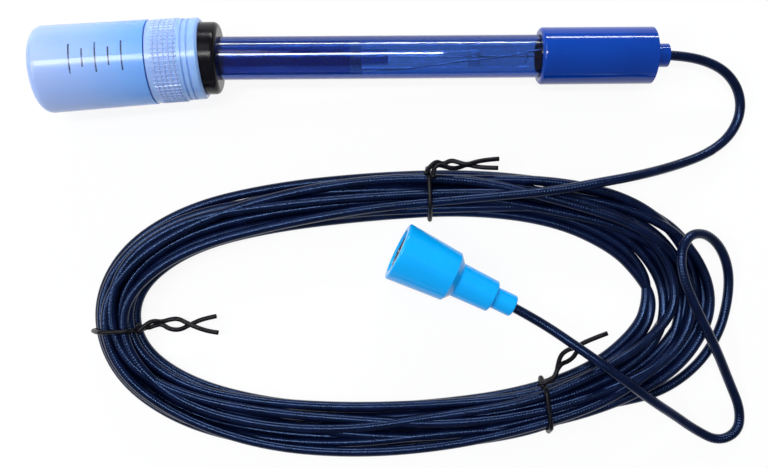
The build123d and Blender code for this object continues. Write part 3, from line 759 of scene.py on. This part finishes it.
def navyTube():
    material, tree, shader = newMaterial("navyTube", tube["base"], tube["roughness"], IOR=1.49,
                                         Transmission_Weight=1.0)
    dye = addNode(tree, "ShaderNodeVolumeAbsorption", Color=(*tube["dye"], 1), Density=tube["density"])
    tree.links.new(dye.outputs[0], tree.nodes["Material Output"].inputs["Volume"])
    place = stretched(tree, objectPlace(tree), shaft["along"], tube["drawnStretch"])
    drawn = noise(tree, place, tube["drawnScale"])
    feed(tree, shader,
         Base_Color=ramp(tree, drawn, tube["drawnEdges"], tube["dark"], tube["light"]),
         Roughness=spread(tree, drawn, *tube["dulled"]))
    return material


# Stem of glass, full of solution up to a level and empty above it
stem = {
    "base": (0.9, 0.94, 1.0),
    "full": (0.42, 0.5, 0.72),
    "empty": (0.98, 0.99, 1.0),
    "level": 80.2,  # from the tip
    "roughness": 0.02,
    "dulled": (0.01, 0.05),
    "dullScale": 300.0,
}


def stemGlass():
    material, tree, shader = newMaterial("stemGlass", stem["base"], stem["roughness"], IOR=1.47,
                                         Transmission_Weight=1.0)
    place = objectPlace(tree)
    level = shaft["origin"] + shaft["along"] * stem["level"] * mm
    empty = sums(tree, "GREATER_THAN", reach(tree, place, level, shaft["along"]), 0.0)
    feed(tree, shader,
         Base_Color=blendColour(tree, empty, stem["full"], stem["empty"]),
         Roughness=spread(tree, noise(tree, place, stem["dullScale"]), *stem["dulled"]))
    return material


# Moulded plastics, with a faint mottle, orange peel and fine scuffs
moulded = {
    "mottleScale": 70.0,
    "mottleEdges": (0.3, 0.7),
    "scuffScale": 1100.0,
    "scuffWay": (0.8, 0.6, 0),
    "scuffStretch": 0.1,
    "dulled": (0.9, 1.15),  # times the roughness
    "grainScale": 1400.0,
    "relief": 0.04,
}
plastics = {
    "junction": {
        "dark": (0.6, 0.58, 0.54), "light": (0.78, 0.76, 0.72), "roughness": 0.7, "grain": 0.5,
        "sockets": {}, "nodes": ["junction_plug"]},
    "paleStopper": {
        "dark": (0.6, 0.74, 0.93), "light": (0.8, 0.9, 1.0), "roughness": 0.2, "grain": 0.08,
        "sockets": {"Transmission_Weight": 0.9}, "nodes": ["gel_stopper"]},
    "clearStopper": {
        "dark": (0.84, 0.9, 0.98), "light": (0.92, 0.96, 1.0), "roughness": 0.05, "grain": 0.08,
        "sockets": {"Transmission_Weight": 0.95, "IOR": 1.4}, "nodes": ["stem_cap"]},
    "insulator": {
        "dark": (0.72, 0.72, 0.7), "light": (0.84, 0.84, 0.82), "roughness": 0.35, "grain": 0.08,
        "sockets": {}, "nodes": ["plug_insulator"]},
    "resin": {
        "dark": (0.006, 0.008, 0.02), "light": (0.014, 0.018, 0.04), "roughness": 0.2, "grain": 0.08,
        "sockets": {}, "nodes": ["tube_potting"]},
    "capBlue": {
        "dark": (0.0004, 0.036, 0.29), "light": (0.0007, 0.046, 0.35), "roughness": 0.1, "grain": 0.03,
        "sockets": {"Specular_IOR_Level": 0.35}, "nodes": ["electrode_cap"]},
    "hoodAzure": {
        "dark": (0.0, 0.36, 0.92), "light": (0.0005, 0.42, 0.96), "roughness": 0.2, "grain": 0.08,
        "sockets": {"Specular_IOR_Level": 0.4}, "nodes": ["plug_hood"]},
}


def dulled(finish, roughness):
    # Least and most roughness of a finish
    return [roughness * share for share in finish["dulled"]]


def mouldedPlastic(name, look):
    material, tree, shader = newMaterial(name, look["light"], look["roughness"], **look["sockets"])
    place = objectPlace(tree)
    mottle = noise(tree, place, moulded["mottleScale"], 4.0)
    scuffed = stretched(tree, place, Vector(moulded["scuffWay"]), moulded["scuffStretch"])
    scuffs = noise(tree, scuffed, moulded["scuffScale"])
    feed(tree, shader,
         Base_Color=ramp(tree, mottle, moulded["mottleEdges"], look["dark"], look["light"]),
         Roughness=spread(tree, scuffs, *dulled(moulded, look["roughness"])))
    bump(tree, shader, noise(tree, place, moulded["grainScale"], 2.0), look["grain"], moulded["relief"])
    return material


# Plated metals, stained a little, with fine turning marks around their axis
turned = {
    "stainScale": 180.0,
    "stainEdges": (0.3, 0.8),
    "markScale": 9000.0,
    "dulled": (0.7, 1.5),
    "depth": 0.1,
    "relief": 0.03,
}
metals = {
    "coatedSilver": {
        "dark": (0.8, 0.82, 0.85), "light": (0.92, 0.93, 0.95), "roughness": 0.12, "axis": shaft,
        "nodes": ["silver_wire", "reference_wire"]},
    "nickelPlate": {
        "dark": (0.5, 0.48, 0.44), "light": (0.78, 0.76, 0.72), "roughness": 0.2, "axis": plug,
        "nodes": ["coupling_ring", "plug_body", "crimp_ferrule"]},
    "giltPin": {
        "dark": (0.6, 0.4, 0.12), "light": (0.9, 0.66, 0.26), "roughness": 0.18, "axis": plug,
        "nodes": ["centre_pin"]},
    "springSteel": {
        "dark": (0.3, 0.3, 0.31), "light": (0.55, 0.55, 0.57), "roughness": 0.3, "axis": plug,
        "nodes": ["spring_washer"]},
}


def turnedMetal(name, look):
    material, tree, shader = newMaterial(name, look["light"], look["roughness"], Metallic=1.0)
    place = objectPlace(tree)
    along = reach(tree, place, look["axis"]["origin"], look["axis"]["along"])
    marks = noise(tree, along, turned["markScale"], 2.0)
    stains = noise(tree, place, turned["stainScale"], 4.0)
    feed(tree, shader,
         Base_Color=ramp(tree, stains, turned["stainEdges"], look["dark"], look["light"]),
         Roughness=spread(tree, marks, *dulled(turned, look["roughness"])))
    bump(tree, shader, marks, turned["depth"], turned["relief"])
    return material


# Rubber, seals and foam, with a pale bloom
rubbery = {
    "bloomScale": 260.0,
    "bloomEdges": (0.4, 0.85),
    "dulled": (0.8, 1.4),
    "grainScale": 2200.0,
    "depth": 0.2,
    "relief": 0.05,
}
rubbers = {
    "tipSeal": {
        "dark": (0.012, 0.012, 0.016), "light": (0.04, 0.04, 0.05), "roughness": 0.5,
        "nodes": ["tip_seal"]},
    "ringRubber": {
        "dark": (0.003, 0.003, 0.005), "light": (0.008, 0.008, 0.012), "roughness": 0.2,
        "nodes": ["seal_ring"]},
    "washerFoam": {
        "dark": (0.6, 0.63, 0.68), "light": (0.75, 0.78, 0.82), "roughness": 0.8,
        "nodes": ["mouth_washer"]},
    "redGasket": {
        "dark": (0.32, 0.03, 0.02), "light": (0.45, 0.06, 0.04), "roughness": 0.5,
        "nodes": ["plug_gasket"]},
}


def softRubber(name, look):
    material, tree, shader = newMaterial(name, look["dark"], look["roughness"], Specular_IOR_Level=0.15)
    place = objectPlace(tree)
    bloom = noise(tree, place, rubbery["bloomScale"], 4.0)
    feed(tree, shader,
         Base_Color=ramp(tree, bloom, rubbery["bloomEdges"], look["dark"], look["light"]),
         Roughness=spread(tree, bloom, *dulled(rubbery, look["roughness"])))
    bump(tree, shader, noise(tree, place, rubbery["grainScale"]), rubbery["depth"], rubbery["relief"])
    return material


# Milky plastic of the bottle and its cap, with plain level lines printed on the bottle, painted light toward
# the bottle's base and painted shade in the cap's grooves
milky = {
    "sky": (0.15, 0.38, 1.0),
    "lavender": (0.36, 0.49, 1.0),
    "paintedLightFade": (-44, -12),  # painted light: lighter lavender at the bottle's base, sky near its cap, from the mouth
    "cloudScale": 45.0,
    "cloud": 0.2,
    "roughness": 0.2,
    "dulled": (0.22, 0.27),
    "dullScale": 120.0,
    "depth": (0.6, 0.8, 1.0),  # how deep red, green and blue light goes, times 4 mm
    "lines": ((-20.0, 4.0), (-23.5, 2.5), (-27.0, 4.0), (-30.5, 2.5), (-34.0, 4.0)),  # place, half length
    "lineHalf": 0.22,
    "ink": (0.02, 0.03, 0.09),
    "worn": (0.6, 1.0),  # share of the ink that is left
    "wornScale": 900.0,
    "wornEdges": (0.3, 0.5),
    # painted shade: darker colour for the cap's grooves between the ribs
    "valleyShade": (0.27, 0.46, 0.94),
    "ribs": (11.3, 11.62),  # radius of the cap's grooves and of its ribs' tops; below the first the plastic is painted with shade, above the second it keeps its own lavender
}


def milkyPlastic(name, colour):
    material, tree, shader = newMaterial(name, colour, milky["roughness"], IOR=1.5, Subsurface_Weight=0.5,
                                         Subsurface_Scale=0.004, Subsurface_Radius=milky["depth"])
    place = objectPlace(tree)
    dull = noise(tree, place, milky["dullScale"], 2.0)
    feed(tree, shader, Roughness=spread(tree, dull, *milky["dulled"]))
    across = bottle["along"].cross(Vector((0, 0, 1))).normalized()
    sideways = reach(tree, place, bottle["origin"], across)
    upward = reach(tree, place, bottle["origin"], across.cross(bottle["along"]))
    return material, tree, shader, place, sideways, upward


def milkyBottle():
    material, tree, shader, place, sideways, upward = milkyPlastic("milkyBottle", milky["sky"])
    along = reach(tree, place, bottle["origin"], bottle["along"])
    cloud = spread(tree, noise(tree, place, milky["cloudScale"]), -milky["cloud"], milky["cloud"])
    # Painted light: the bottle is painted lighter and lavender toward its base
    paintedLightFade = spread(tree, along, 0.0, 1.0, milky["paintedLightFade"][0] * mm, milky["paintedLightFade"][1] * mm)
    plain = blendColour(tree, sums(tree, "ADD", paintedLightFade, cloud), milky["lavender"], milky["sky"])
    ink = 0.0
    for middle, half in milky["lines"]:
        ring = sums(tree, "COMPARE", along, middle * mm, milky["lineHalf"] * mm)
        stroke = sums(tree, "MULTIPLY", ring, sums(tree, "COMPARE", sideways, 0.0, half * mm))
        ink = sums(tree, "ADD", ink, stroke)
    onTop = sums(tree, "MULTIPLY", ink, sums(tree, "GREATER_THAN", upward, 0.0))
    worn = spread(tree, noise(tree, place, milky["wornScale"]), *milky["worn"], *milky["wornEdges"])
    printed = blendColour(tree, sums(tree, "MULTIPLY", onTop, worn), plain, milky["ink"])
    feed(tree, shader, Base_Color=printed)
    return material


def milkyCap():
    material, tree, shader, place, sideways, upward = milkyPlastic("milkyCap", milky["lavender"])
    upwardSquare = sums(tree, "MULTIPLY", upward, upward)
    far = sums(tree, "SQRT", sums(tree, "MULTIPLY_ADD", sideways, sideways, upwardSquare))
    # Painted shade: below the ribs' tops the cap, and the thread and rings under it, get the darker shade
    # colour
    raised = spread(tree, far, 0.0, 1.0, milky["ribs"][0] * mm, milky["ribs"][1] * mm)
    feed(tree, shader, Base_Color=blendColour(tree, raised, milky["valleyShade"], milky["lavender"]))
    return material


def dressAll():
    dress(navyTube(), "body_tube")
    dress(stemGlass(), "ph_glass")
    gelPiece.data.materials.append(gelFinish())
    for finish, looks in ((mouldedPlastic, plastics), (turnedMetal, metals), (softRubber, rubbers)):
        for name, look in looks.items():
            dress(finish(name, look), *look["nodes"])
    dress(milkyBottle(), "storage_bottle")
    capMilk = milkyCap()
    dress(capMilk, "bottle_cap")
    neckThread.data.materials.append(capMilk)
    ringPiece.data.materials.append(capMilk)


dressAll()
print("finishes set")
